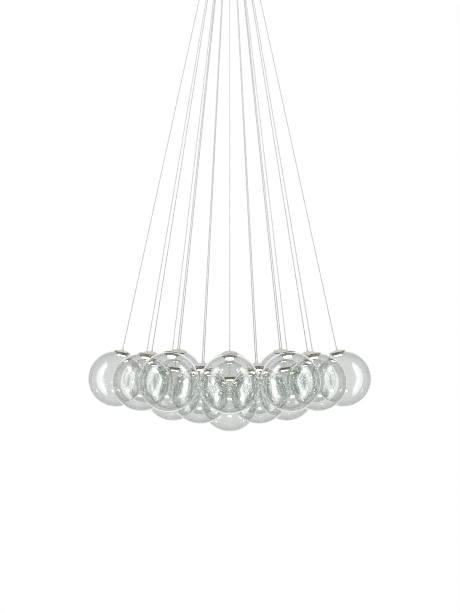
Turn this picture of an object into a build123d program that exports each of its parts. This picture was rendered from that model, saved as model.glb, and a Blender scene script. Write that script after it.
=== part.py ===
from build123d import *
import os
from math import atan2, cos, degrees, radians, sin, sqrt

# A ceiling pendant of nineteen glass globes in a hexagonal cluster. Sizes are millimetres. The
# origin is on the ceiling, over the middle globe, with Z up, and X runs along the row of five.

os.makedirs("parts", exist_ok=True)

# The cluster
globe_diameter = 140.0
globe_wall = 2.8
globe_gap = 1.0  # between globes that hang side by side
inner_rise = 26.6  # how far each ring hangs above the middle globe
edge_rise = 56.9
corner_rise = 61.8
drop = 1096.0  # from the cable pivots down to the middle globe's centre
swing_limit = 45.0  # how far an outer cable swings outwards, in degrees

# The cables, with a crimped barrel at the top and a crimped ferrule at the bottom
cable_diameter = 2.4
crimp_gap = 0.05  # between a crimped piece and its cable
barrel_diameter = 6.0
barrel_length = 11.0
barrel_fit = 0.08  # between the barrel and its cross bore, all round
ferrule_diameter = 5.0
ferrule_length = 3.7
ferrule_fit = 0.08  # between the ferrule and the cap's bore, all round
lead_diameter = 2.4
lead_straight = 14.0
lead_bend = 12.0
lead_drop_bend = 5.0
tail_gap = 0.4  # between a barrel and the cable tail above it

# The lamp head, measured from its globe's centre along the cable
cap_diameter = 40.0
cap_rim = 1.0
cap_dome_radius = 50.0
cap_seat_gap = 0.25  # between cap and glass
nib_diameter = 3.9
nib_height = 4.4  # above the dome's crown, if the dome ran on under it
nib_flare = 4.4
cable_fit = 0.06  # between the cable and the nib's bore, all round
hub_diameter = 18.0
hub_length = 4.9
hub_fit = 0.1
ferrule_cover = 3.5  # cap metal above the ferrule's seat
sink_diameter = 28.0
sink_height = 7.9
sink_gap = 0.3  # between the heat sink and the cap above it
sink_floor = 1.7
sink_edge = 0.4
hole_clearance = 1.0  # between the heat sink and the globe's hole
lip_radius = 0.6
board_diameter = 20.8
board_thickness = 1.2
board_gap = 0.1
recess_clearance = 0.2
diffuser_diameter = 20.5
diffuser_thickness = 3.5
diffuser_edge = 0.9
diffuser_gap = 0.2
diffuser_seat = 0.8  # how far it sits in the heat sink
ring_overlap = 1.0  # how far the snap ring reaches under the glass
ring_depth = 0.7  # how far it sits in its groove
ring_thickness = 1.0
ring_gap = 0.3
ring_fit = 0.1
ring_opening = 10.0  # degrees of the snap ring left open
wire_hole = 3.2

# The rose
hole_pitch = 28.0  # between the cable grips
rim_margin = 39.0  # from the outermost grips to the rose's side
shadow_gap = 0.5  # between the cover's rim and the ceiling
cover_wall = 2.0
cover_corner = 8.0
plate_thickness = 2.0
plate_gap = 1.0
bead_radius = 19.0
bead_width = 4.0
bead_depth = 1.0
entry_diameter = 12.0
ceiling_hole_diameter = 4.5
ceiling_hole_circle = 150.0
tab_width = 16.0
tab_length = 12.0
tab_thickness = 2.0
tab_inset = 0.5
tab_hole_drop = 8.0
thumb_diameter = 4.0
thumb_head_diameter = 9.0
thumb_head_length = 4.0
thumb_reach = 9.0
thread_fit = 0.05
screw_clearance = 0.2

# The cable grips and their nuts
grip_diameter = 14.0
grip_length = 12.0
grip_pivot_drop = 6.0
grip_edge = 1.5
shank_diameter = 10.0
shank_length = 10.0
shank_fit = 0.1
slot_clearance = 0.4  # on each side of the cable
slot_spare = 3.0  # degrees the slot goes on past the end of the swing
tail_clearance = 0.3
nut_width = 14.0
nut_height = 4.0

# What the rose holds
spacer_height = 11.0
spacer_width = 5.5
spacer_bore_depth = 8.0
spacer_circle = 64.0
circuit_thickness = 1.6
circuit_margin = 14.0  # from the outermost cable holes to the board's edge
socket_width = 8.0
socket_height = 4.0
input_height = 8.0
driver_length = 110.0
driver_width = 42.0
driver_height = 22.0
driver_clearance = 7.4  # between the driver and the board below it
driver_corner = 4.0
driver_offset = 46.0
lug_length = 8.0
lug_width = 16.0
lug_thickness = 2.5
boss_diameter = 8.0
boss_length = 3.0
boss_spacing = 90.0
boss_rise = 8.0  # above the driver's lower face
terminal_length = 34.0
terminal_width = 16.0
terminal_height = 14.0
terminal_offset = 38.0
pole_pitch = 11.0
pole_diameter = 3.0
pole_screw_diameter = 4.0
lead_entry = 4.0  # how far the lead goes into its pole
screw_diameter = 3.0
screw_head_diameter = 5.6
screw_head_height = 2.0
earth_place = (-38.0, 40.0)
earth_diameter = 4.0
earth_length = 12.0
earth_nut_width = 7.0
earth_nut_height = 3.2

# Worked out from the sizes above
globe_radius = globe_diameter / 2
inner_radius = globe_radius - globe_wall
pitch = globe_diameter + globe_gap
circuit_rise = cover_wall + spacer_height + circuit_thickness
rose_height = circuit_rise + driver_clearance + driver_height + plate_thickness
pivot_z = -rose_height - grip_pivot_drop
hole_radius = sink_diameter / 2 + hole_clearance
cover_radius = 2 * hole_pitch + rim_margin
cover_inside = cover_radius - cover_wall
floor_z = cover_wall - rose_height
plate_radius = cover_inside - plate_gap
circuit_bottom = floor_z + spacer_height
circuit_top = circuit_rise - rose_height
boss_z = boss_rise - driver_height - plate_thickness
input_circle = 2 * hole_pitch + circuit_margin / 2
tab_angles = (30.0, 150.0, 270.0)

# The nineteen places: the middle, six round it, six on the edges and six on the corners. Each is
# how many pitches out, at which angle, and how far above the middle globe.
rings = [(1.0, 0.0, inner_rise), (sqrt(3.0), 30.0, edge_rise), (2.0, 0.0, corner_rise)]
places = [(0.0, 0.0, 0.0)]
for steps, start, rise in rings:
    for turn in range(6):
        places.append((steps, start + 60.0 * turn, rise))
fixed_places = places[:7]


def outward(angle):
    return Vector(cos(radians(angle)), sin(radians(angle)), 0)


def sideways(angle):
    return Vector(-sin(radians(angle)), cos(radians(angle)), 0)


def pivot_of(place):
    steps, angle, rise = place
    return outward(angle) * (steps * hole_pitch) + Vector(0, 0, pivot_z)


def hole_points():
    points = []
    for place in places:
        pivot = pivot_of(place)
        points.append((pivot.X, pivot.Y))
    return points


def globe_centre(place):
    steps, angle, rise = place
    return outward(angle) * (steps * pitch) + Vector(0, 0, pivot_z - drop + rise)


def up_the_cable(place):
    return (pivot_of(place) - globe_centre(place)).normalized()


# A plane through a globe's centre to draw a turned piece on: its X runs outwards from the cable's
# line and its Y runs up the cable.
def turning_plane(place):
    up = up_the_cable(place)
    across = sideways(place[1]).cross(up)
    return Plane(origin=globe_centre(place), x_dir=across, z_dir=across.cross(up))


def turning_axis(place):
    return Axis(globe_centre(place), up_the_cable(place))


def on_sphere(radius, out):
    return sqrt(radius**2 - out**2)


def tilt_of(place):
    up = up_the_cable(place)
    return degrees(atan2(sqrt(up.X**2 + up.Y**2), up.Z))


widest_tilt = max(tilt_of(place) for place in places)


# One blown globe: a shell with a round hole at the top, its lip melted round.
def make_globe(number, place):
    outer_edge = (hole_radius, on_sphere(globe_radius, hole_radius))
    inner_edge = (hole_radius, on_sphere(inner_radius, hole_radius))
    with BuildPart() as glass_globe:
        with BuildSketch(turning_plane(place)) as wall:
            with BuildLine():
                Line((0, -inner_radius), (0, -globe_radius))
                ThreePointArc((0, -globe_radius), (globe_radius, 0), outer_edge)
                Line(outer_edge, inner_edge)
                ThreePointArc(inner_edge, (inner_radius, 0), (0, -inner_radius))
            make_face()
            fillet(wall.vertices().sort_by_distance(outer_edge)[0], lip_radius)
            fillet(wall.vertices().sort_by_distance(inner_edge)[0], lip_radius)
        revolve(axis=turning_axis(place))
    glass_globe.part.label = f"glass_globe_{number:02d}"
    export_step(glass_globe.part, f"parts/glass_globe_{number:02d}.step")


# Heights in the lamp head, along the cable from the globe's centre.
def dome_height(out):
    rim_top = on_sphere(globe_radius + cap_seat_gap, cap_diameter / 2) + cap_rim
    return rim_top + on_sphere(cap_dome_radius, out) - on_sphere(cap_dome_radius, cap_diameter / 2)


nib_top = dome_height(0) + nib_height
seat_radius = globe_radius + cap_seat_gap
sink_top = on_sphere(seat_radius, sink_diameter / 2) - sink_gap
sink_bottom = sink_top - sink_height
diffuser_top = sink_bottom + diffuser_seat
board_top = diffuser_top + diffuser_gap + board_thickness
recess_top = board_top + board_gap
hub_bottom = on_sphere(seat_radius, hub_diameter / 2) - hub_length
ferrule_seat = dome_height(0) - ferrule_cover
ring_reach = hole_radius + ring_overlap
ring_top = on_sphere(inner_radius, ring_reach) - ring_gap
cable_end = ferrule_seat - ferrule_fit - ferrule_length


# The cap, turned from one piece: dome, flared nib, and the hub that the ferrule hangs in.
def cap_section(place):
    rim = cap_diameter / 2
    hub = hub_diameter / 2
    bore = cable_diameter / 2 + cable_fit
    counterbore = ferrule_diameter / 2 + ferrule_fit
    nib = nib_diameter / 2
    root = (nib, dome_height(nib))
    half_way = (rim + hub) / 2
    with BuildSketch(turning_plane(place)) as section:
        with BuildLine():
            ThreePointArc(
                (rim, on_sphere(seat_radius, rim)),
                (half_way, on_sphere(seat_radius, half_way)),
                (hub, on_sphere(seat_radius, hub)),
            )
            Polyline(
                (hub, on_sphere(seat_radius, hub)),
                (hub, hub_bottom),
                (counterbore, hub_bottom),
                (counterbore, ferrule_seat),
                (bore, ferrule_seat),
                (bore, nib_top),
                (nib, nib_top),
                root,
            )
            ThreePointArc(root, (half_way, dome_height(half_way)), (rim, dome_height(rim)))
            Line((rim, dome_height(rim)), (rim, on_sphere(seat_radius, rim)))
        make_face()
        fillet(section.vertices().sort_by_distance(root)[0], nib_flare)
        fillet(section.vertices().sort_by_distance((rim, dome_height(rim)))[0], cap_rim / 2)
    return section.sketch


# The heat sink: a cup that fits over the hub, with the snap ring's groove round it and the recess
# for the LED board below.
def heat_sink_section(place):
    outside = sink_diameter / 2
    bore = hub_diameter / 2 + hub_fit
    recess = board_diameter / 2 + recess_clearance
    groove = outside - ring_depth - ring_fit
    with BuildSketch(turning_plane(place)) as section:
        with BuildLine():
            Polyline(
                (bore, sink_top),
                (outside, sink_top),
                (outside, ring_top + ring_fit),
                (groove, ring_top + ring_fit),
                (groove, ring_top - ring_thickness - ring_fit),
                (outside, ring_top - ring_thickness - ring_fit),
                (outside, sink_bottom),
                (recess, sink_bottom),
                (recess, recess_top),
                (wire_hole / 2, recess_top),
                (wire_hole / 2, recess_top + sink_floor),
                (bore, recess_top + sink_floor),
                close=True,
            )
        make_face()
        chamfer(section.vertices().sort_by_distance((outside, sink_bottom))[0], sink_edge)
    return section.sketch


# A disc or ring of rectangular section, from its inner to its outer radius.
def ring_section(place, inside, outside, bottom, top):
    with BuildSketch(turning_plane(place)) as section:
        with Locations(((inside + outside) / 2, (bottom + top) / 2)):
            Rectangle(outside - inside, top - bottom)
    return section.sketch


def diffuser_section(place):
    bottom = diffuser_top - diffuser_thickness
    rim = diffuser_diameter / 2
    with BuildSketch(turning_plane(place)) as section:
        with BuildLine():
            Polyline((0, bottom), (rim, bottom), (rim, diffuser_top), (0, diffuser_top), close=True)
        make_face()
        fillet(section.vertices().sort_by_distance((rim, bottom))[0], diffuser_edge)
    return section.sketch


# One lamp head, its five pieces apart by their clearances.
def make_lamp_head(number, place):
    axis = turning_axis(place)
    led_board = ring_section(place, 0, board_diameter / 2, board_top - board_thickness, board_top)
    groove = sink_diameter / 2 - ring_depth
    snap_ring = ring_section(place, groove, ring_reach, ring_top - ring_thickness, ring_top)
    with BuildPart() as lamp_head:
        revolve(cap_section(place), axis=axis)
        revolve(heat_sink_section(place), axis=axis)
        revolve(led_board, axis=axis)
        revolve(diffuser_section(place), axis=axis)
        revolve(snap_ring, axis=axis, revolution_arc=360 - ring_opening)
    lamp_head.part.label = f"lamp_head_{number:02d}"
    export_step(lamp_head.part, f"parts/lamp_head_{number:02d}.step")


# Adds one cable to the part being built: the barrel that lies across its top, the sheath from
# there to the end of its ferrule, and the ferrule.
def add_cable(place):
    axis = turning_axis(place)
    pivot = pivot_of(place)
    sheath = cable_diameter / 2
    crimp = sheath + crimp_gap
    sheath_top = (pivot - globe_centre(place)).length + barrel_diameter / 2 - sheath
    across = Plane(origin=pivot, x_dir=outward(place[1]), z_dir=sideways(place[1]))
    with BuildSketch(across) as barrel:
        Circle(barrel_diameter / 2)
    extrude(barrel.sketch, amount=barrel_length / 2, both=True)
    with BuildSketch(Plane(origin=pivot, z_dir=up_the_cable(place))) as bore:
        Circle(crimp)
    extrude(bore.sketch, amount=barrel_diameter, both=True, mode=Mode.SUBTRACT)
    revolve(ring_section(place, 0, sheath, cable_end, sheath_top), axis=axis)
    ferrule = ring_section(place, crimp, ferrule_diameter / 2, cable_end, cable_end + ferrule_length)
    revolve(ferrule, axis=axis)


def make_cable(number, place):
    with BuildPart() as cable:
        add_cable(place)
    cable.part.label = f"cable_{number:02d}"
    export_step(cable.part, f"parts/cable_{number:02d}.step")


# The cables of the middle seven lamps, which are hemmed in, the tails of all nineteen inside the
# rose, and the two leads beside them.
def make_fixed_cables():
    tail_bottom = pivot_z + barrel_diameter / 2 + tail_gap
    tail_length = circuit_top + socket_height / 2 - tail_bottom
    with BuildPart() as fixed_cables:
        for place in fixed_places:
            add_cable(place)
        with BuildSketch(Plane.XY.offset(tail_bottom)):
            with Locations(*hole_points()):
                Circle(cable_diameter / 2)
        extrude(amount=tail_length)
        boss_y = driver_width / 2 + boss_length - driver_offset
        terminal_y = terminal_offset - terminal_width / 2
        pole_y = terminal_y + lead_entry
        terminal_z = -plate_thickness - terminal_height / 2
        left = -boss_spacing / 2
        right = boss_spacing / 2
        input_point = outward(30.0) * input_circle
        with BuildLine():
            FilletPolyline(
                (-pole_pitch, pole_y, terminal_z),
                (-pole_pitch, terminal_y - lead_straight, terminal_z),
                (left, boss_y + lead_straight, boss_z),
                (left, boss_y, boss_z),
                radius=lead_bend,
            )
        with BuildSketch(Plane(origin=(left, boss_y, boss_z), z_dir=(0, 1, 0))):
            Circle(lead_diameter / 2)
        sweep()
        with BuildLine():
            FilletPolyline(
                (right, boss_y, boss_z),
                (right, boss_y + lead_straight, boss_z),
                (input_point.X, input_point.Y, boss_z),
                (input_point.X, input_point.Y, circuit_top + input_height),
                radius=lead_drop_bend,
            )
        with BuildSketch(Plane(origin=(right, boss_y, boss_z), z_dir=(0, 1, 0))):
            Circle(lead_diameter / 2)
        sweep()
    fixed_cables.part.label = "fixed_cables"
    export_step(fixed_cables.part, "parts/fixed_cables.step")


# The spun cover, with a hole for each grip and three for the thumb screws.
def make_rose_cover():
    height = rose_height - shadow_gap
    with BuildPart() as rose_cover:
        with BuildSketch(Plane.XY.offset(-rose_height)):
            Circle(cover_radius)
        extrude(amount=height)
        fillet(rose_cover.edges().sort_by(Axis.Z)[0], cover_corner)
        offset(amount=-cover_wall, openings=rose_cover.faces().sort_by(Axis.Z)[-1])
        with BuildSketch(Plane.XY.offset(-rose_height)):
            with Locations(*hole_points()):
                Circle(shank_diameter / 2 + shank_fit)
        extrude(amount=cover_wall, mode=Mode.SUBTRACT)
        for angle in tab_angles:
            with BuildSketch(Plane(origin=tab_screw_point(angle), z_dir=outward(angle))):
                Circle(thumb_diameter / 2 + screw_clearance)
            extrude(amount=2 * plate_gap + tab_inset + cover_wall, mode=Mode.SUBTRACT)
    rose_cover.part.label = "rose_cover"
    export_step(rose_cover.part, "parts/rose_cover.step")


# Where a thumb screw's axis meets its tab's outer face.
def tab_screw_point(angle):
    return outward(angle) * (plate_radius - tab_inset) + Vector(0, 0, -tab_hole_drop)


# The steel plate against the ceiling: a pressed bead round the cable entry, three ceiling screw
# holes, three bent tabs for the cover, and a welded earth stud.
def make_mounting_plate():
    half_bead = bead_width / 2
    with BuildPart() as mounting_plate:
        with BuildSketch(Plane.XZ) as section:
            with BuildLine():
                Polyline(
                    (bead_radius - half_bead, 0),
                    (entry_diameter / 2, 0),
                    (entry_diameter / 2, -plate_thickness),
                    (bead_radius - half_bead, -plate_thickness),
                )
                ThreePointArc(
                    (bead_radius - half_bead, -plate_thickness),
                    (bead_radius, -plate_thickness - bead_depth),
                    (bead_radius + half_bead, -plate_thickness),
                )
                Polyline(
                    (bead_radius + half_bead, -plate_thickness),
                    (plate_radius, -plate_thickness),
                    (plate_radius, 0),
                    (bead_radius + half_bead, 0),
                )
                ThreePointArc(
                    (bead_radius + half_bead, 0),
                    (bead_radius, -bead_depth),
                    (bead_radius - half_bead, 0),
                )
            make_face()
        revolve(axis=Axis.Z)
        for angle in tab_angles:
            face = Plane(origin=tab_screw_point(angle), x_dir=sideways(angle), z_dir=outward(angle))
            with BuildSketch(face):
                with Locations((0, tab_hole_drop - plate_thickness / 2 - tab_length / 2)):
                    Rectangle(tab_width, tab_length + plate_thickness)
            extrude(amount=-tab_thickness)
            with BuildSketch(face):
                Circle(thumb_diameter / 2 + thread_fit)
            extrude(amount=-tab_thickness, mode=Mode.SUBTRACT)
        with BuildSketch(Plane.XY):
            with PolarLocations(ceiling_hole_circle / 2, 3, start_angle=90):
                Circle(ceiling_hole_diameter / 2)
            with Locations(*plate_screw_points()):
                Circle(screw_diameter / 2 + thread_fit)
        extrude(amount=-plate_thickness, mode=Mode.SUBTRACT)
        with BuildSketch(Plane.XY.offset(-plate_thickness)):
            with Locations(earth_place):
                Circle(earth_diameter / 2)
        extrude(amount=-earth_length)
    mounting_plate.part.label = "mounting_plate"
    export_step(mounting_plate.part, "parts/mounting_plate.step")


def lug_points():
    reach = driver_length / 2 + lug_length / 2
    return [(-reach, -driver_offset), (reach, -driver_offset)]


def terminal_screw_points():
    return [(-pole_pitch / 2, terminal_offset), (pole_pitch / 2, terminal_offset)]


def plate_screw_points():
    return lug_points() + terminal_screw_points()


def make_thumb_screws():
    with BuildPart() as thumb_screws:
        for angle in tab_angles:
            face = Plane(
                origin=outward(angle) * cover_radius + Vector(0, 0, -tab_hole_drop),
                z_dir=outward(angle),
            )
            with BuildSketch(face):
                Circle(thumb_diameter / 2)
            extrude(amount=-thumb_reach)
            with BuildSketch(face.offset(thread_fit)):
                RegularPolygon(thumb_head_diameter / 2, 24)
            extrude(amount=thumb_head_length)
            with BuildSketch(face):
                Circle(thumb_diameter / 2)
            extrude(amount=thumb_head_length)
    thumb_screws.part.label = "thumb_screws"
    export_step(thumb_screws.part, "parts/thumb_screws.step")


# The cable grips: a shank through the cover, a cross bore for the barrel, and a slot that lets the
# cable swing outwards only.
def make_cable_grips():
    slot = cable_diameter / 2 + slot_clearance
    steepest = radians(widest_tilt + swing_limit + slot_spare)
    past = grip_diameter
    below = grip_length
    run = (past - slot * cos(steepest)) / sin(steepest)
    upper_edge = (slot * cos(steepest), slot * sin(steepest))
    upper_end = (past, slot * sin(steepest) - run * cos(steepest))
    with BuildPart() as cable_grips:
        with BuildSketch(Plane.XY.offset(-rose_height)):
            with Locations(*hole_points()):
                Circle(grip_diameter / 2)
        extrude(amount=-grip_length)
        chamfer(cable_grips.faces().sort_by(Axis.Z)[: len(places)].edges(), grip_edge)
        with BuildSketch(Plane.XY.offset(-rose_height)):
            with Locations(*hole_points()):
                Circle(shank_diameter / 2)
        extrude(amount=shank_length)
        with BuildSketch(Plane.XY.offset(pivot_z)):
            with Locations(*hole_points()):
                Circle(cable_diameter / 2 + tail_clearance)
        extrude(amount=grip_pivot_drop + shank_length, mode=Mode.SUBTRACT)
        for place in places:
            across = Plane(origin=pivot_of(place), x_dir=outward(place[1]), z_dir=-sideways(place[1]))
            with BuildSketch(across):
                Circle(barrel_diameter / 2 + barrel_fit)
            extrude(amount=grip_diameter / 2, both=True, mode=Mode.SUBTRACT)
            with BuildSketch(across):
                Polygon(
                    (-slot, 0),
                    (-slot, -below),
                    (past, -below),
                    upper_end,
                    upper_edge,
                    align=None,
                )
            extrude(amount=slot, both=True, mode=Mode.SUBTRACT)
    cable_grips.part.label = "cable_grips"
    export_step(cable_grips.part, "parts/cable_grips.step")


def make_grip_nuts():
    with BuildPart() as grip_nuts:
        with BuildSketch(Plane.XY.offset(floor_z)):
            with Locations(*hole_points()):
                RegularPolygon(nut_width / 2, 6, major_radius=False)
                Circle(shank_diameter / 2 + thread_fit, mode=Mode.SUBTRACT)
        extrude(amount=nut_height)
    grip_nuts.part.label = "grip_nuts"
    export_step(grip_nuts.part, "parts/grip_nuts.step")


# The round board that shares the driver's output among the lamps: a socket round each tail, and a
# taller one for the driver's lead.
def make_distribution_board():
    with BuildPart() as distribution_board:
        with BuildSketch(Plane.XY.offset(circuit_bottom)):
            Circle(2 * hole_pitch + circuit_margin)
            with PolarLocations(spacer_circle, 3, start_angle=90):
                Circle(screw_diameter / 2 + screw_clearance, mode=Mode.SUBTRACT)
        extrude(amount=circuit_thickness)
        with BuildSketch(Plane.XY.offset(circuit_top)):
            with Locations(*hole_points()):
                Rectangle(socket_width, socket_width)
        extrude(amount=socket_height)
        with BuildSketch(Plane.XY.offset(circuit_top)):
            with PolarLocations(input_circle, 1, start_angle=30):
                Rectangle(socket_width, socket_width)
        extrude(amount=input_height)
        with BuildSketch(Plane.XY.offset(circuit_bottom)):
            with Locations(*hole_points()):
                Circle(cable_diameter / 2 + tail_clearance)
        extrude(amount=circuit_thickness + socket_height, mode=Mode.SUBTRACT)
    distribution_board.part.label = "distribution_board"
    export_step(distribution_board.part, "parts/distribution_board.step")


# The LED driver: a moulded box with a lug at each end and two lead bosses.
def make_led_driver():
    with BuildPart() as led_driver:
        with BuildSketch(Plane.XY.offset(-plate_thickness)):
            with Locations((0, -driver_offset)):
                RectangleRounded(driver_length, driver_width, driver_corner)
        extrude(amount=-driver_height)
        fillet(led_driver.faces().sort_by(Axis.Z)[0].edges(), driver_corner / 4)
        with BuildSketch(Plane.XY.offset(-plate_thickness)):
            with Locations((0, -driver_offset)):
                SlotOverall(driver_length + 2 * lug_length, lug_width)
            with Locations(*lug_points()):
                Circle(screw_diameter / 2 + screw_clearance, mode=Mode.SUBTRACT)
        extrude(amount=-lug_thickness)
        side = Plane(
            origin=(0, driver_width / 2 - driver_offset, boss_z),
            x_dir=(1, 0, 0),
            z_dir=(0, 1, 0),
        )
        with BuildSketch(side):
            with GridLocations(boss_spacing, 0, 2, 1):
                Circle(boss_diameter / 2)
        extrude(amount=boss_length)
    led_driver.part.label = "led_driver"
    export_step(led_driver.part, "parts/led_driver.step")


# The mains terminal block: three poles, each with a wire hole at the side and a screw hole below.
def make_terminal_block():
    bottom = -plate_thickness - terminal_height
    with BuildPart() as terminal_block:
        with BuildSketch(Plane.XY.offset(bottom)):
            with Locations((0, terminal_offset)):
                Rectangle(terminal_length, terminal_width)
        extrude(amount=terminal_height)
        far_side = Plane(
            origin=(0, terminal_offset + terminal_width / 2, bottom + terminal_height / 2),
            x_dir=(1, 0, 0),
            z_dir=(0, 1, 0),
        )
        with BuildSketch(far_side):
            with GridLocations(pole_pitch, 0, 3, 1):
                Circle(pole_diameter / 2)
        extrude(amount=-terminal_width, mode=Mode.SUBTRACT)
        with BuildSketch(Plane.XY.offset(bottom)):
            with Locations((0, terminal_offset)):
                with GridLocations(pole_pitch, 0, 3, 1):
                    Circle(pole_screw_diameter / 2)
        extrude(amount=terminal_height / 2, mode=Mode.SUBTRACT)
        with BuildSketch(Plane.XY.offset(bottom)):
            with Locations(*terminal_screw_points()):
                Circle(screw_diameter / 2 + screw_clearance)
        extrude(amount=terminal_height, mode=Mode.SUBTRACT)
    terminal_block.part.label = "terminal_block"
    export_step(terminal_block.part, "parts/terminal_block.step")


# Adds pan head screws that point up, with their heads' upper faces at the given height.
def add_screws(points, seat, length):
    with BuildSketch(Plane.XY.offset(seat)) as heads:
        with Locations(*points):
            Circle(screw_head_diameter / 2)
    extrude(heads.sketch, amount=-screw_head_height)
    with BuildSketch(Plane.XY.offset(seat)) as shanks:
        with Locations(*points):
            Circle(screw_diameter / 2)
    extrude(shanks.sketch, amount=length)


# The small fixings in the rose: the driver's and the terminal block's screws, the board's spacers
# with their screws, and the earth nut.
def make_fixings():
    flush = 0.2
    lug_seat = -plate_thickness - lug_thickness
    block_seat = -plate_thickness - terminal_height
    with BuildPart() as fixings:
        add_screws(lug_points(), lug_seat, -lug_seat - flush)
        add_screws(terminal_screw_points(), block_seat, -block_seat - flush)
        with BuildSketch(Plane.XY.offset(floor_z)):
            with PolarLocations(spacer_circle, 3, start_angle=90):
                RegularPolygon(spacer_width / 2, 6, major_radius=False)
        extrude(amount=spacer_height)
        with BuildSketch(Plane.XY.offset(circuit_bottom)):
            with PolarLocations(spacer_circle, 3, start_angle=90):
                Circle(screw_diameter / 2 + thread_fit)
        extrude(amount=-spacer_bore_depth, mode=Mode.SUBTRACT)
        with BuildSketch(Plane.XY.offset(circuit_top)):
            with PolarLocations(spacer_circle, 3, start_angle=90):
                Circle(screw_head_diameter / 2)
        extrude(amount=screw_head_height)
        with BuildSketch(Plane.XY.offset(circuit_top)):
            with PolarLocations(spacer_circle, 3, start_angle=90):
                Circle(screw_diameter / 2)
        extrude(amount=-circuit_thickness - spacer_bore_depth + flush)
        with BuildSketch(Plane.XY.offset(-plate_thickness)):
            with Locations(earth_place):
                RegularPolygon(earth_nut_width / 2, 6, major_radius=False)
                Circle(earth_diameter / 2 + thread_fit, mode=Mode.SUBTRACT)
        extrude(amount=-earth_nut_height)
    fixings.part.label = "fixings"
    export_step(fixings.part, "parts/fixings.step")


for number, place in enumerate(places, start=1):
    make_globe(number, place)
    make_lamp_head(number, place)
    if place not in fixed_places:
        make_cable(number, place)
make_fixed_cables()
make_cable_grips()
make_grip_nuts()
make_rose_cover()
make_mounting_plate()
make_thumb_screws()
make_distribution_board()
make_led_driver()
make_terminal_block()
make_fixings()

print("pivot height", pivot_z, "widest tilt", round(widest_tilt, 3), "degrees")
for place in places:
    span = (pivot_of(place) - globe_centre(place)).length - nib_top
    print("cable at", place[1], "degrees:", round(span, 1), "mm, tilt", round(tilt_of(place), 3))
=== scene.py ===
import math

import bmesh
import bpy
from mathutils import Matrix, Vector


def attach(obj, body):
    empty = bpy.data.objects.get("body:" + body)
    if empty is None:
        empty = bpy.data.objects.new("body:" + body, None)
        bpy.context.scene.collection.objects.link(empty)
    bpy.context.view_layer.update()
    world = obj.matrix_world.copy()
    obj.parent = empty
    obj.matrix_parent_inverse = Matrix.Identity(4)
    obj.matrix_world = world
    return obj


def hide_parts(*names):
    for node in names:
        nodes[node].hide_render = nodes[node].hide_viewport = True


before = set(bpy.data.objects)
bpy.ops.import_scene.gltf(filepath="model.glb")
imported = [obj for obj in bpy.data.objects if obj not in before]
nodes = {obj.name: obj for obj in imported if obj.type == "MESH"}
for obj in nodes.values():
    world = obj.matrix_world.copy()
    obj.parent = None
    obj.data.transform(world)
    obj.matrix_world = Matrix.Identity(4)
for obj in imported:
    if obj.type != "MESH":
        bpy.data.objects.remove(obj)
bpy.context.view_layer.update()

scene = bpy.context.scene

# Cluster pendant: nineteen clear globes on thin cables below one round rose. Metres, Z up.

cluster = {
    "pitch": 0.141,  # between globes that hang side by side
    "gripPitch": 0.028,  # between the cable grips
    "pivotHeight": -0.052,
    "drop": 1.096,  # pivots down to the middle globe's centre
    "rings": [(1.0, 0.0, 0.0266), (math.sqrt(3.0), 30.0, 0.0569), (2.0, 0.0, 0.0618)],
}


def findLamps():
    spots = [(0.0, 0.0, 0.0)]
    for steps, start, rise in cluster["rings"]:
        spots += [(steps, start + 60.0 * turn, rise) for turn in range(6)]
    lamps = []
    for number, (steps, angle, rise) in enumerate(spots, start=1):
        out = Vector((math.cos(math.radians(angle)), math.sin(math.radians(angle)), 0.0))
        pivot = out * steps * cluster["gripPitch"] + Vector((0.0, 0.0, cluster["pivotHeight"]))
        centre = out * steps * cluster["pitch"]
        centre.z = cluster["pivotHeight"] - cluster["drop"] + rise
        up = (pivot - centre).normalized()
        side = Vector((-out.y, out.x, 0.0))
        across = side.cross(up)
        place = Matrix((across, side, up)).transposed().to_4x4()
        place.translation = centre
        lamps.append({
            "tag": f"{number:02d}",
            "pivot": pivot,
            "centre": centre,
            "up": up,
            "out": out,
            "place": place,
            "lampBody": f"lamp_{number:02d}",
            "cableBody": "rose" if number <= 7 else f"cable_{number:02d}",
            "cableNode": "fixed_cables" if number <= 7 else f"cable_{number:02d}",
        })
    return lamps


lamps = findLamps()


view = {
    "eye": (0.0, -3.549, -0.985),
    "lens": 83.8,
    "shift": (0.0005, 0.0514),
}


def addCamera():
    data = bpy.data.cameras.new("photoCamera")
    data.lens = view["lens"]
    data.shift_x, data.shift_y = view["shift"]
    data.clip_end = 60.0
    camera = bpy.data.objects.new("photoCamera", data)
    camera.location = view["eye"]
    camera.rotation_euler = (math.radians(90.0), 0.0, 0.0)
    scene.collection.objects.link(camera)
    scene.camera = camera


addCamera()
print("camera set")


cable = {
    "diameter": 0.0024,
    "top": 0.0018,  # above the pivot, inside the barrel
    "bottom": 0.06522,  # above the globe's centre, inside the cap
    "nearEnd": 0.0144,  # six diameters
}


def drawWire(name, route, diameter, smoothness):  # one round wire along a spline
    curve = bpy.data.curves.new(name, "CURVE")
    curve.dimensions = "3D"
    curve.bevel_depth = 1.0  # times each point's radius
    curve.bevel_resolution = 4
    curve.use_fill_caps = True
    spline = curve.splines.new("NURBS")
    spline.points.add(len(route) - 1)
    for point, where in zip(spline.points, route):
        point.co = (*where, 1.0)
        point.radius = diameter / 2
    spline.order_u = 3
    spline.use_endpoint_u = True
    spline.resolution_u = smoothness
    wire = bpy.data.objects.new(name, curve)
    scene.collection.objects.link(wire)
    return wire


def addCable(lamp):
    up = lamp["up"]
    top = lamp["pivot"] + up * cable["top"]
    bottom = lamp["centre"] + up * cable["bottom"]
    route = [top, top - up * cable["nearEnd"], bottom + up * cable["nearEnd"], bottom]
    piece = drawWire(f"suspension_{lamp['tag']}", route, cable["diameter"], 6)
    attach(piece, lamp["cableBody"])
    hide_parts(lamp["cableNode"])
    return piece


cables = [addCable(lamp) for lamp in lamps]
print("cables hung:", len(cables))


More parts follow.
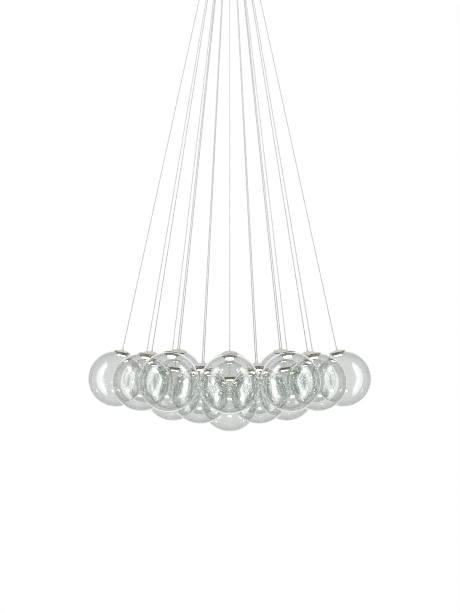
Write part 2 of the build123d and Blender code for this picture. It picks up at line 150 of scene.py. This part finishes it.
def startProfile(bm, where):
    return bmesh.ops.create_vert(bm, co=(where[0], 0.0, where[1]))["vert"][0]


def lineTo(bm, vert, where):  # extrudes a profile's last vertex to a point (radius, height)
    made = bmesh.ops.extrude_vert_indiv(bm, verts=[vert])["verts"][0]
    bmesh.ops.translate(bm, vec=Vector((where[0], 0.0, where[1])) - made.co, verts=[made])
    return made


def arcRound(bm, vert, centre, degrees, steps):  # sweeps it round an arc in the profile's plane
    made = bmesh.ops.spin(
        bm, geom=[vert], cent=(centre[0], 0.0, centre[1]), axis=(0.0, -1.0, 0.0),
        angle=math.radians(degrees), steps=steps,
    )
    return [item for item in made["geom_last"] if isinstance(item, bmesh.types.BMVert)][0]


def turnRound(bm, steps):  # spins the whole profile about the upright axis
    bmesh.ops.spin(
        bm, geom=bm.verts[:] + bm.edges[:], cent=(0.0, 0.0, 0.0), axis=(0.0, 0.0, 1.0),
        angle=math.tau, steps=steps, use_merge=True,
    )
    bmesh.ops.remove_doubles(bm, verts=bm.verts[:], dist=0.000005)
    bmesh.ops.recalc_face_normals(bm, faces=bm.faces[:])


def finishMesh(bm, name, sharpAngle=40.0):
    for face in bm.faces:
        face.smooth = True
    for edge in bm.edges:
        if len(edge.link_faces) == 2 and edge.calc_face_angle() > math.radians(sharpAngle):
            edge.smooth = False
    turned = bm.verts.layers.float_vector.new("turned")  # where it was on the lathe
    for vert in bm.verts:
        vert[turned] = vert.co
    mesh = bpy.data.meshes.new(name)
    bm.to_mesh(mesh)
    bm.free()
    return mesh


def placePiece(name, mesh, place, body, node, material):
    copy = mesh.copy()
    copy.name = name
    copy.transform(place)
    copy.materials.append(material)
    piece = bpy.data.objects.new(name, copy)
    scene.collection.objects.link(piece)
    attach(piece, body)
    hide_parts(node)
    return piece


def newMaterial(name):
    material = bpy.data.materials.new(name)
    material.use_nodes = True
    tree = material.node_tree
    return material, tree, tree.nodes["Principled BSDF"]


def addNode(tree, kind, **values):
    node = tree.nodes.new(kind)
    for key, value in values.items():
        if hasattr(node, key):
            setattr(node, key, value)
        else:
            node.inputs[key.replace("_", " ")].default_value = value
    return node


def objectPoints(tree):
    return tree.nodes.new("ShaderNodeTexCoord").outputs["Object"]


def turnedPoints(tree):
    return addNode(tree, "ShaderNodeAttribute", attribute_name="turned").outputs["Vector"]


def addNoise(tree, points, scale, detail=3.0):
    noise = addNode(tree, "ShaderNodeTexNoise", Scale=scale, Detail=detail)
    tree.links.new(points, noise.inputs["Vector"])
    return noise.outputs["Fac"]


def addRamp(tree, source, stops):
    ramp = tree.nodes.new("ShaderNodeValToRGB")
    tree.links.new(source, ramp.inputs["Fac"])
    elements = ramp.color_ramp.elements
    while len(elements) < len(stops):
        elements.new(0.5)
    for element, (position, colour) in zip(elements, stops):
        element.position = position
        element.color = (*colour, 1.0)
    return ramp.outputs["Color"]


def addRange(tree, source, low, high, start=0.0, end=1.0):
    node = tree.nodes.new("ShaderNodeMapRange")
    tree.links.new(source, node.inputs["Value"])
    node.inputs["From Min"].default_value = start
    node.inputs["From Max"].default_value = end
    node.inputs["To Min"].default_value = low
    node.inputs["To Max"].default_value = high
    return node.outputs["Result"]


def addBump(tree, source, shader, strength, distance):
    bump = addNode(tree, "ShaderNodeBump", Strength=strength, Distance=distance)
    tree.links.new(source, bump.inputs["Height"])
    tree.links.new(bump.outputs["Normal"], shader.inputs["Normal"])


def mottled(name, colours, roughness, grain, bump, metallic=0.0):
    material, tree, shader = newMaterial(name)
    points = objectPoints(tree)
    coarse = addNoise(tree, points, grain / 6.0)
    fine = addNoise(tree, points, grain, 5.0)
    tone = addRamp(tree, coarse, [(0.3, colours[0]), (0.7, colours[1])])
    tree.links.new(tone, shader.inputs["Base Color"])
    tree.links.new(addRange(tree, fine, roughness[0], roughness[1]), shader.inputs["Roughness"])
    shader.inputs["Metallic"].default_value = metallic
    addBump(tree, fine, shader, bump, 0.0001)
    return material


globe = {
    "radius": 0.07,
    "wall": 0.0028,
    "mouth": 0.015,
    "lip": 0.0005,
    "around": 128,
    "upDown": 84,
    "depthColour": (0.0, 0.555, 0.15),  # what a long way through the glass leaves
    "density": 6.0,  # per metre
    "ior": 1.5,
}


def makeGlass():
    material, tree, shader = newMaterial("clearGlass")
    shader.inputs["Base Color"].default_value = (1.0, 1.0, 1.0, 1.0)
    shader.inputs["Roughness"].default_value = 0.0
    shader.inputs["IOR"].default_value = globe["ior"]
    shader.inputs["Transmission Weight"].default_value = 1.0
    addBump(tree, addNoise(tree, turnedPoints(tree), 22.0, 1.0), shader, 0.004, 0.0002)  # blown by mouth
    depth = tree.nodes.new("ShaderNodeVolumeAbsorption")
    depth.inputs["Color"].default_value = (*globe["depthColour"], 1.0)
    depth.inputs["Density"].default_value = globe["density"]
    tree.links.new(depth.outputs["Volume"], tree.nodes["Material Output"].inputs["Volume"])
    return material


def makeGlobeMesh():
    bm = bmesh.new()
    bmesh.ops.create_uvsphere(
        bm, u_segments=globe["around"], v_segments=globe["upDown"], radius=globe["radius"],
    )
    cut = math.sqrt(globe["radius"] ** 2 - globe["mouth"] ** 2)
    bmesh.ops.bisect_plane(
        bm, geom=bm.verts[:] + bm.edges[:] + bm.faces[:], plane_co=(0.0, 0.0, cut),
        plane_no=(0.0, 0.0, 1.0), clear_outer=True,
    )
    bmesh.ops.solidify(bm, geom=bm.faces[:], thickness=globe["wall"])
    bmesh.ops.recalc_face_normals(bm, faces=bm.faces[:])
    lip = [
        edge for edge in bm.edges
        if edge.calc_face_angle(0.0) > math.radians(50.0) and min(v.co.z for v in edge.verts) > 0.06
    ]
    bmesh.ops.bevel(
        bm, geom=lip, offset=globe["lip"], segments=3, profile=0.5, affect="EDGES", material=-1,
    )
    return finishMesh(bm, "globe", 60.0)


glass = makeGlass()
globeMesh = makeGlobeMesh()
for lamp in lamps:
    placePiece(
        f"globe_{lamp['tag']}", globeMesh, lamp["place"], lamp["lampBody"],
        f"glass_globe_{lamp['tag']}", glass,
    )
print("globes blown:", len(lamps), "with", len(globeMesh.polygons), "faces each")


cap = {
    "rim": 0.020,
    "seat": 0.07025,  # radius of the hollow that sits on the glass
    "rimHeight": 0.0010,
    "domeRadius": 0.050,
    "nib": 0.00195,
    "nibTop": 0.0769,
    "flare": 0.0044,
    "hub": 0.009,
    "hubBottom": 0.06477,
    "bore": 0.00126,
    "around": 72,
}


def heightOn(radius, out):
    return math.sqrt(radius ** 2 - out ** 2)


def makeCapMesh():
    rimSeat = heightOn(cap["seat"], cap["rim"])
    rimTop = rimSeat + cap["rimHeight"]
    domeCentre = rimTop - heightOn(cap["domeRadius"], cap["rim"])
    reach = cap["nib"] + cap["flare"]  # the flare's own centre stands this far out
    flareCentre = domeCentre + heightOn(cap["domeRadius"] + cap["flare"], reach)
    meet = math.degrees(math.asin(reach / (cap["domeRadius"] + cap["flare"])))
    fromRim = math.degrees(math.asin(cap["rim"] / cap["domeRadius"]))
    bm = bmesh.new()
    vert = startProfile(bm, (cap["bore"], cap["hubBottom"]))
    vert = lineTo(bm, vert, (cap["hub"], cap["hubBottom"]))
    vert = lineTo(bm, vert, (cap["hub"], heightOn(cap["seat"], cap["hub"])))
    fall = math.degrees(math.asin(cap["rim"] / cap["seat"]) - math.asin(cap["hub"] / cap["seat"]))
    vert = arcRound(bm, vert, (0.0, 0.0), -fall, 6)
    vert = lineTo(bm, vert, (cap["rim"], rimTop))
    vert = arcRound(bm, vert, (0.0, domeCentre), fromRim - meet, 12)
    vert = arcRound(bm, vert, (reach, flareCentre), meet - 90.0, 10)
    vert = lineTo(bm, vert, (cap["nib"], cap["nibTop"]))
    vert = lineTo(bm, vert, (cap["bore"], cap["nibTop"]))
    lineTo(bm, vert, (cap["bore"], cap["hubBottom"]))
    turnRound(bm, cap["around"])
    rims = [
        edge for edge in bm.edges
        if edge.calc_face_angle(0.0) > math.radians(50.0)
        and (edge.verts[0].co.xy.length > cap["hub"] * 1.1 or edge.verts[0].co.z > cap["nibTop"] - 0.0001)
    ]
    bmesh.ops.bevel(bm, geom=rims, offset=0.0003, segments=3, profile=0.5, affect="EDGES", material=-1)
    return finishMesh(bm, "cap")


lampBody = {
    "radius": 0.014,
    "top": 0.06854,
    "bottom": 0.06064,
    "bore": 0.0091,
    "floorTop": 0.06464,
    "floorBottom": 0.06294,
    "recess": 0.0106,
    "wireHole": 0.0016,
    "grooveTop": 0.06507,
    "grooveBottom": 0.06387,
    "groove": 0.0132,
    "taperTop": 0.0636,
    "foot": 0.0122,  # radius where the taper ends
    "around": 72,
}


def makeLampBodyMesh():
    body = lampBody
    bm = bmesh.new()
    outline = [
        (body["bore"], body["top"]), (body["radius"], body["top"]),
        (body["radius"], body["grooveTop"]), (body["groove"], body["grooveTop"]),
        (body["groove"], body["grooveBottom"]), (body["radius"], body["grooveBottom"]),
        (body["radius"], body["taperTop"]), (body["foot"], body["bottom"]), (body["recess"], body["bottom"]),
        (body["recess"], body["floorBottom"]), (body["wireHole"], body["floorBottom"]),
        (body["wireHole"], body["floorTop"]), (body["bore"], body["floorTop"]),
        (body["bore"], body["top"]),
    ]
    vert = startProfile(bm, outline[0])
    for where in outline[1:]:
        vert = lineTo(bm, vert, where)
    turnRound(bm, body["around"])
    rims = [
        edge for edge in bm.edges
        if edge.calc_face_angle(0.0) > math.radians(50.0)
        and (edge.verts[0].co.xy.length > body["groove"] * 1.03 or (
            edge.verts[0].co.z < body["bottom"] + 0.0001 and edge.verts[0].co.xy.length > body["foot"] * 0.98
        ))
    ]
    bmesh.ops.bevel(bm, geom=rims, offset=0.00025, segments=2, profile=0.5, affect="EDGES", material=-1)
    return finishMesh(bm, "lampBody")


diffuser = {
    "radius": 0.01025,
    "top": 0.06144,
    "bottom": 0.05794,
    "edge": 0.0018,
    "around": 64,
    "fade": 0.0024,  # up its side
    "opal": [(0.93, 0.9, 0.84), (0.97, 0.94, 0.89)],
    "glow": (1.0, 0.92, 0.78),
    "edgeGlow": (1.0, 0.84, 0.62),
    "strength": 8.0,
    "edgeStrength": 0.5,
}


def makeDiffuserMesh():
    bm = bmesh.new()
    flat = diffuser["radius"] - diffuser["edge"]
    vert = startProfile(bm, (0.0, diffuser["bottom"]))
    vert = lineTo(bm, vert, (diffuser["radius"] * 0.6, diffuser["bottom"]))
    vert = lineTo(bm, vert, (flat, diffuser["bottom"]))
    vert = arcRound(bm, vert, (flat, diffuser["bottom"] + diffuser["edge"]), 90.0, 6)
    vert = lineTo(bm, vert, (diffuser["radius"], diffuser["top"]))
    lineTo(bm, vert, (0.0, diffuser["top"]))
    turnRound(bm, diffuser["around"])
    return finishMesh(bm, "diffuser")


snapRing = {
    "inner": 0.0133,
    "outer": 0.016,
    "top": 0.06497,
    "bottom": 0.06397,
    "open": 10.0,
}


def makeSnapRingMesh():
    bm = bmesh.new()
    corners = [
        (snapRing["inner"], snapRing["bottom"]), (snapRing["outer"], snapRing["bottom"]),
        (snapRing["outer"], snapRing["top"]), (snapRing["inner"], snapRing["top"]),
    ]
    first = startProfile(bm, corners[0])
    vert = first
    for where in corners[1:]:
        vert = lineTo(bm, vert, where)
    bm.edges.new((vert, first))
    section = bmesh.ops.contextual_create(bm, geom=bm.edges[:])["faces"]
    bmesh.ops.bevel(
        bm, geom=bm.verts[:], offset=0.0002, segments=2, profile=0.5, affect="VERTICES", material=-1,
    )
    bmesh.ops.spin(
        bm, geom=bm.faces[:], cent=(0.0, 0.0, 0.0), axis=(0.0, 0.0, 1.0),
        angle=math.radians(360.0 - snapRing["open"]), steps=64,
    )
    bmesh.ops.remove_doubles(bm, verts=bm.verts[:], dist=0.000005)
    bmesh.ops.recalc_face_normals(bm, faces=bm.faces[:])
    return finishMesh(bm, "snapRing")


def makeSatinMetal(name, colours, roughness, metallic):
    material, tree, shader = newMaterial(name)
    points = turnedPoints(tree)
    split = tree.nodes.new("ShaderNodeSeparateXYZ")
    tree.links.new(points, split.inputs["Vector"])
    flat = tree.nodes.new("ShaderNodeCombineXYZ")
    tree.links.new(split.outputs["X"], flat.inputs["X"])
    tree.links.new(split.outputs["Y"], flat.inputs["Y"])
    radius = addNode(tree, "ShaderNodeVectorMath", operation="LENGTH")
    tree.links.new(flat.outputs["Vector"], radius.inputs[0])
    lathe = tree.nodes.new("ShaderNodeCombineXYZ")  # rings round the axis, as a lathe leaves
    tree.links.new(radius.outputs["Value"], lathe.inputs["X"])
    tree.links.new(split.outputs["Z"], lathe.inputs["Z"])
    rings = addNoise(tree, lathe.outputs["Vector"], 3200.0, 2.0)
    cloud = addNoise(tree, points, 60.0)
    tree.links.new(addRamp(tree, cloud, [(0.3, colours[0]), (0.7, colours[1])]), shader.inputs["Base Color"])
    tree.links.new(addRange(tree, rings, roughness[0], roughness[1]), shader.inputs["Roughness"])
    shader.inputs["Metallic"].default_value = metallic
    addBump(tree, rings, shader, 0.12, 0.0001)
    return material


def makeOpal():
    material, tree, shader = newMaterial("opalDiffuser")
    points = turnedPoints(tree)
    split = tree.nodes.new("ShaderNodeSeparateXYZ")
    tree.links.new(points, split.inputs["Vector"])
    bottom = diffuser["bottom"]
    height = addRange(tree, split.outputs["Z"], 0.0, 1.0, bottom + 0.0001, bottom + diffuser["fade"])
    glow = addRamp(tree, height, [(0.0, diffuser["glow"]), (1.0, diffuser["edgeGlow"])])
    strength = addRange(tree, height, diffuser["strength"], diffuser["edgeStrength"])
    grain = addNoise(tree, points, 900.0)
    opalTone = addRamp(tree, grain, [(0.3, diffuser["opal"][0]), (0.7, diffuser["opal"][1])])
    tree.links.new(opalTone, shader.inputs["Base Color"])
    tree.links.new(glow, shader.inputs["Emission Color"])
    tree.links.new(strength, shader.inputs["Emission Strength"])
    shader.inputs["Roughness"].default_value = 0.45
    addBump(tree, grain, shader, 0.1, 0.0001)
    return material


turnedMetals = {  # colours, roughness, metallic
    "capSatin": ([(0.69, 0.66, 0.60), (0.75, 0.72, 0.66)], (0.38, 0.50), 0.15),
    # the lamp body is the cap's satin metal painted lighter: painted light standing in for the light that the
    # glass keeps off it
    "lampBodyPaintedLightSatin": ([(0.81, 0.78, 0.71), (0.87, 0.84, 0.77)], (0.38, 0.50), 0.1),
    "springSteel": ([(0.50, 0.49, 0.47), (0.56, 0.55, 0.53)], (0.25, 0.35), 1.0),
    "crimpSteel": ([(0.52, 0.51, 0.49), (0.60, 0.59, 0.57)], (0.25, 0.4), 1.0),
}

capMetal = makeSatinMetal("capSatin", *turnedMetals["capSatin"])
# the lamp body's colours carry painted light, lighter than the cap's for the shade it sits in under the cap and
# inside the glass
bodyMetalPaintedLight = makeSatinMetal("lampBodyPaintedLightSatin", *turnedMetals["lampBodyPaintedLightSatin"])
springSteel = makeSatinMetal("springSteel", *turnedMetals["springSteel"])
opal = makeOpal()
capMesh = makeCapMesh()
lampBodyMesh = makeLampBodyMesh()
diffuserMesh = makeDiffuserMesh()
snapRingMesh = makeSnapRingMesh()
for lamp in lamps:
    node = f"lamp_head_{lamp['tag']}"
    for name, mesh, slot, material in (
        ("cap", capMesh, "satin_metal", capMetal),
        ("lampBody", lampBodyMesh, "satin_metal", bodyMetalPaintedLight),
        ("snapRing", snapRingMesh, "zinc_plated_steel", springSteel),
        ("diffuser", diffuserMesh, "opal_diffuser", opal),
    ):
        placePiece(f"{name}_{lamp['tag']}", mesh, lamp["place"], lamp["lampBody"], node, material)
print("lamp heads made:", len(lamps))


crimp = {
    "barrel": 0.003,
    "barrelHalf": 0.0055,
    "ferrule": 0.0025,
    "ferruleBottom": 0.06522,
    "ferruleTop": 0.06892,
    "bore": 0.00125,
    "barrelBore": 0.0006,
    "ferruleChamfer": 0.0002,
    "barrelChamfer": 0.0004,
    "around": 32,
}


def makeTube(name, outer, inner, low, high, chamfer, around):
    bm = bmesh.new()
    vert = startProfile(bm, (inner, low))
    for where in ((outer, low), (outer, high), (inner, high), (inner, low)):
        vert = lineTo(bm, vert, where)
    turnRound(bm, around)
    rims = [
        edge for edge in bm.edges
        if edge.calc_face_angle(0.0) > math.radians(50.0) and edge.verts[0].co.xy.length > outer * 0.95
    ]
    bmesh.ops.bevel(bm, geom=rims, offset=chamfer, segments=2, profile=0.5, affect="EDGES", material=-1)
    return finishMesh(bm, name)


crimpSteel = makeSatinMetal("crimpSteel", *turnedMetals["crimpSteel"])
ferruleMesh = makeTube(
    "ferrule", crimp["ferrule"], crimp["bore"], crimp["ferruleBottom"], crimp["ferruleTop"],
    crimp["ferruleChamfer"], crimp["around"],
)
barrelMesh = makeTube(
    "barrel", crimp["barrel"], crimp["barrelBore"], -crimp["barrelHalf"], crimp["barrelHalf"],
    crimp["barrelChamfer"], crimp["around"],
)
for lamp in lamps:
    side = Vector((-lamp["out"].y, lamp["out"].x, 0.0))
    lying = Matrix((lamp["out"], Vector((0.0, 0.0, -1.0)), side)).transposed().to_4x4()
    lying.translation = lamp["pivot"]
    placePiece(
        f"ferrule_{lamp['tag']}", ferruleMesh, lamp["place"], lamp["cableBody"], lamp["cableNode"],
        crimpSteel,
    )
    placePiece(
        f"barrel_{lamp['tag']}", barrelMesh, lying, lamp["cableBody"], lamp["cableNode"],
        crimpSteel,
    )
print("crimps made")


def finishNode(node, material):
    mesh = nodes[node].data
    mesh.materials.clear()
    mesh.materials.append(material)


finishes = {  # colours, roughness, grain, bump, metallic
    "cableSheath": ([(0.64, 0.64, 0.63), (0.70, 0.70, 0.69)], (0.38, 0.5), 900.0, 0.15),
    "coverPaint": ([(0.80, 0.80, 0.78), (0.84, 0.84, 0.82)], (0.38, 0.48), 1400.0, 0.1),
    "zincPlate": ([(0.60, 0.61, 0.62), (0.70, 0.71, 0.72)], (0.36, 0.50), 700.0, 0.1, 0.45),
    "gripSatin": ([(0.66, 0.63, 0.57), (0.72, 0.69, 0.63)], (0.34, 0.46), 1800.0, 0.08, 0.4),
    "driverPlastic": ([(0.83, 0.83, 0.81), (0.88, 0.88, 0.86)], (0.5, 0.62), 1500.0, 0.2),
    "terminalPlastic": ([(0.86, 0.84, 0.76), (0.92, 0.90, 0.82)], (0.4, 0.5), 1200.0, 0.1),
    "boardLacquer": ([(0.05, 0.24, 0.12), (0.09, 0.33, 0.18)], (0.25, 0.35), 500.0, 0.1),
}

sheath = mottled("cableSheath", *finishes["cableSheath"])
for piece in cables:
    piece.data.materials.append(sheath)

coverPaint = mottled("coverPaint", *finishes["coverPaint"])
zinc = mottled("zincPlate", *finishes["zincPlate"])
gripMetal = mottled("gripSatin", *finishes["gripSatin"])
driverPlastic = mottled("driverPlastic", *finishes["driverPlastic"])
terminalPlastic = mottled("terminalPlastic", *finishes["terminalPlastic"])
boardLacquer = mottled("boardLacquer", *finishes["boardLacquer"])
for node, material in (
    ("rose_cover", coverPaint),
    ("mounting_plate", zinc),
    ("thumb_screws", gripMetal),
    ("cable_grips", gripMetal),
    ("grip_nuts", zinc),
    ("led_driver", driverPlastic),
    ("terminal_block", terminalPlastic),
    ("distribution_board", boardLacquer),
    ("fixings", zinc),
):
    finishNode(node, material)


wiring = {
    "tailBottom": -0.0486,  # just above the barrels
    "tailTop": -0.0294,  # inside the board's sockets
    "diameter": 0.0024,
    "around": 20,
    "supplyLead": [
        (-0.011, 0.034, -0.009), (-0.011, 0.016, -0.009), (-0.045, -0.008, -0.016), (-0.045, -0.022, -0.016),
    ],
    "outputLead": [
        (0.045, -0.022, -0.016), (0.045, -0.008, -0.016), (0.05456, 0.0315, -0.016), (0.05456, 0.0315, -0.0234),
    ],
}


def makeTails():
    height = wiring["tailTop"] - wiring["tailBottom"]
    bm = bmesh.new()
    for lamp in lamps:
        spot = Vector((lamp["pivot"].x, lamp["pivot"].y, wiring["tailBottom"] + height / 2))
        bmesh.ops.create_cone(
            bm, cap_ends=True, segments=wiring["around"], radius1=wiring["diameter"] / 2,
            radius2=wiring["diameter"] / 2, depth=height, matrix=Matrix.Translation(spot),
        )
    rims = [edge for edge in bm.edges if edge.calc_face_angle(0.0) > math.radians(50.0)]
    bmesh.ops.bevel(bm, geom=rims, offset=0.0002, segments=2, profile=0.5, affect="EDGES", material=-1)
    return finishMesh(bm, "cableTails")


def addLead(name):
    lead = drawWire(name, wiring[name], wiring["diameter"], 12)
    lead.data.materials.append(sheath)
    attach(lead, "rose")
    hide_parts("fixed_cables")


placePiece("cableTails", makeTails(), Matrix(), "rose", "fixed_cables", sheath)
addLead("supplyLead")
addLead("outputLead")
print("rose finished and wired")


studio = {
    "floorHeight": -3.6,
    "floorRadius": 6.0,
    "floorFade": 2.0,  # from this far out the paper fades into the background
    "paper": [(0.93, 0.93, 0.93), (0.95, 0.95, 0.95)],
    "surround": 0.8,  # what the world gives to matt surfaces
    "softbox": {"power": 40.0, "size": (0.95, 5.0), "at": (1.7, -0.68, -1.1)},  # seen only in glass and metal
    "keyLight": {"power": 44.0, "size": (2.0, 2.0), "at": (-1.5, -2.2, 1.2)},
    "throughGlass": 0.80,  # the paper behind was cut out to white, but the glass still shows its grey
    "mirrored": [(0.0, 0.03), (0.5, 0.05), (0.76, 0.18), (0.95, 1.0)],  # dark room, then the paper
}


def addArea(name, light, at, turn, shine):
    data = bpy.data.lights.new(name, "AREA")
    data.shape = "RECTANGLE"
    data.size, data.size_y = light["size"]
    data.energy = light["power"]
    lamp = bpy.data.objects.new(name, data)
    lamp.location = at
    lamp.rotation_euler = turn
    lamp.visible_camera = False
    lamp.visible_diffuse = not shine
    lamp.visible_glossy = shine
    lamp.visible_transmission = shine
    scene.collection.objects.link(lamp)
    if not shine:
        return
    data.use_nodes = True  # lit only in reflections, so that no view sees it straight through the glass
    tree = data.node_tree
    mirrored = addNode(tree, "ShaderNodeMath", operation="MINIMUM")
    tree.links.new(tree.nodes.new("ShaderNodeLightPath").outputs["Glossy Depth"], mirrored.inputs[0])
    mirrored.inputs[1].default_value = 1.0
    tree.links.new(mirrored.outputs[0], tree.nodes["Emission"].inputs["Strength"])


def makeFloorPaper():
    paper = mottled("floorPaper", studio["paper"], (0.8, 0.9), 40.0, 0.02)
    tree = paper.node_tree
    flat = addNode(tree, "ShaderNodeVectorMath", operation="MULTIPLY")
    tree.links.new(objectPoints(tree), flat.inputs[0])
    flat.inputs[1].default_value = (1.0, 1.0, 0.0)
    out = addNode(tree, "ShaderNodeVectorMath", operation="LENGTH")
    tree.links.new(flat.outputs["Vector"], out.inputs[0])
    fade = addRange(tree, out.outputs["Value"], 1.0, 0.0, studio["floorFade"], studio["floorRadius"] * 0.98)
    tree.links.new(fade, tree.nodes["Principled BSDF"].inputs["Alpha"])
    return paper


def addStudio():
    box = studio["softbox"]
    x, y, z = box["at"]
    addArea("softboxLeft", box, (-x, y, z), (math.radians(90.0), 0.0, math.radians(-90.0)), True)
    addArea("softboxRight", box, (x, y, z), (math.radians(90.0), 0.0, math.radians(90.0)), True)
    key = studio["keyLight"]
    towards = Vector((0.0, 0.0, cluster["pivotHeight"] - cluster["drop"])) - Vector(key["at"])
    addArea("keyLight", key, key["at"], towards.to_track_quat("-Z", "Y").to_euler(), False)

    world = bpy.data.worlds.new("studioWorld")
    world.use_nodes = True
    scene.world = world
    tree = world.node_tree
    tree.nodes.clear()
    path = tree.nodes.new("ShaderNodeLightPath")
    seen = path.outputs["Is Camera Ray"]
    for kind in ("Is Glossy Ray", "Is Transmission Ray"):
        either = addNode(tree, "ShaderNodeMath", operation="MAXIMUM")
        tree.links.new(seen, either.inputs[0])
        tree.links.new(path.outputs[kind], either.inputs[1])
        seen = either.outputs[0]
    where = tree.nodes.new("ShaderNodeTexCoord")
    split = tree.nodes.new("ShaderNodeSeparateXYZ")
    tree.links.new(where.outputs["Generated"], split.inputs["Vector"])
    walls = addRamp(tree, split.outputs["Y"], [(at, (tone, tone, tone)) for at, tone in studio["mirrored"]])
    mirrored = addNode(tree, "ShaderNodeMath", operation="MINIMUM")
    tree.links.new(path.outputs["Glossy Depth"], mirrored.inputs[0])
    mirrored.inputs[1].default_value = 1.0
    behind = addRange(tree, path.outputs["Is Camera Ray"], studio["throughGlass"], 1.0)
    background = tree.nodes.new("ShaderNodeMix")
    tree.links.new(mirrored.outputs[0], background.inputs["Factor"])
    tree.links.new(behind, background.inputs["A"])
    tree.links.new(walls, background.inputs["B"])
    shown = addNode(tree, "ShaderNodeBackground", Color=(1.0, 1.0, 1.0, 1.0))
    tree.links.new(background.outputs["Result"], shown.inputs["Strength"])
    soft = addNode(tree, "ShaderNodeBackground", Color=(1.0, 1.0, 1.0, 1.0), Strength=studio["surround"])
    mix = tree.nodes.new("ShaderNodeMixShader")
    tree.links.new(seen, mix.inputs["Fac"])
    tree.links.new(soft.outputs[0], mix.inputs[1])
    tree.links.new(shown.outputs[0], mix.inputs[2])
    out = tree.nodes.new("ShaderNodeOutputWorld")
    tree.links.new(mix.outputs[0], out.inputs["Surface"])

    bm = bmesh.new()
    bmesh.ops.create_circle(bm, cap_ends=True, segments=96, radius=studio["floorRadius"])
    bmesh.ops.translate(bm, vec=(0.0, 0.0, studio["floorHeight"]), verts=bm.verts[:])
    mesh = bpy.data.meshes.new("studioFloor")
    bm.to_mesh(mesh)
    bm.free()
    mesh.materials.append(makeFloorPaper())
    floor = bpy.data.objects.new("studioFloor", mesh)
    scene.collection.objects.link(floor)
    floor.visible_glossy = False  # to glass and metal the room below is dark, and the paper goes on behind it
    floor.visible_transmission = False


addStudio()
scene.view_settings.view_transform = "Standard"
scene.cycles.max_bounces = 40
scene.cycles.transmission_bounces = 40  # a line of sight crosses up to five globes
scene.cycles.glossy_bounces = 8
scene.cycles.filter_width = 1.1  # keeps the thin bright rims crisp
print("studio lit")

bpy.context.view_layer.update()
